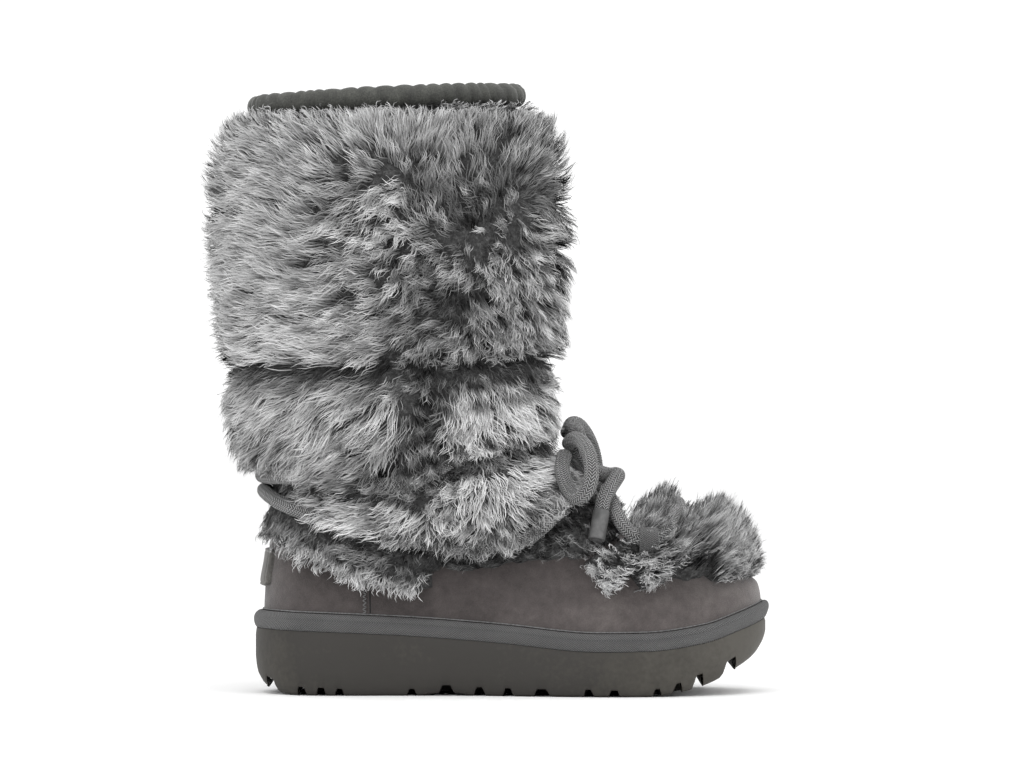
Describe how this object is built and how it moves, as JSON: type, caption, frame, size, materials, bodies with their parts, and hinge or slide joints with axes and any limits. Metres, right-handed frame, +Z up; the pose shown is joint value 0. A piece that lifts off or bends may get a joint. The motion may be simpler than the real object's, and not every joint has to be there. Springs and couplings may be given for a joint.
{
  "type": "winter boot",
  "caption": "Tall winter boot with a deep-furred sheepskin shaft and vamp, a suede foot on a thick lugged sole, a gathered drawcord collar and a thick round lace that wraps the ankle and is tied in a bow.",
  "frame": {"origin": "on the floor, under the middle of the boot's box without the bow and the lace's ends", "axes": "+X towards the toe, +Y towards the inner side of the right foot, +Z up from the floor"},
  "size_m": [0.2966, 0.142, 0.32],
  "materials": {
    "sole": "matt moulded",
    "braid": "woven twill",
    "lining": "short wool pile",
    "suede": "napped suede",
    "fur": "long curly wool",
    "drawcord": "gathered cloth",
    "lace": "herringbone braid",
    "tip": "satin"
  },
  "bodies": {
    "root": {"outsole": "sole", "welt": "braid", "insole": "lining", "upper": "suede", "heel_tab": "suede", "shaft": "fur", "vamp_fur": "fur", "collar": "drawcord", "lace_wrap_lower": "lace", "lace_wrap_upper": "lace", "lace_vamp": "lace", "lace_knot": "lace", "lace_loop_outer": "lace", "lace_loop_inner": "lace", "lace_end_outer": "lace", "lace_end_inner": "lace", "aglet_outer": "tip", "aglet_inner": "tip", "lace_keeper_outer": "braid", "lace_keeper_inner": "braid"}
  },
  "joints": []
}
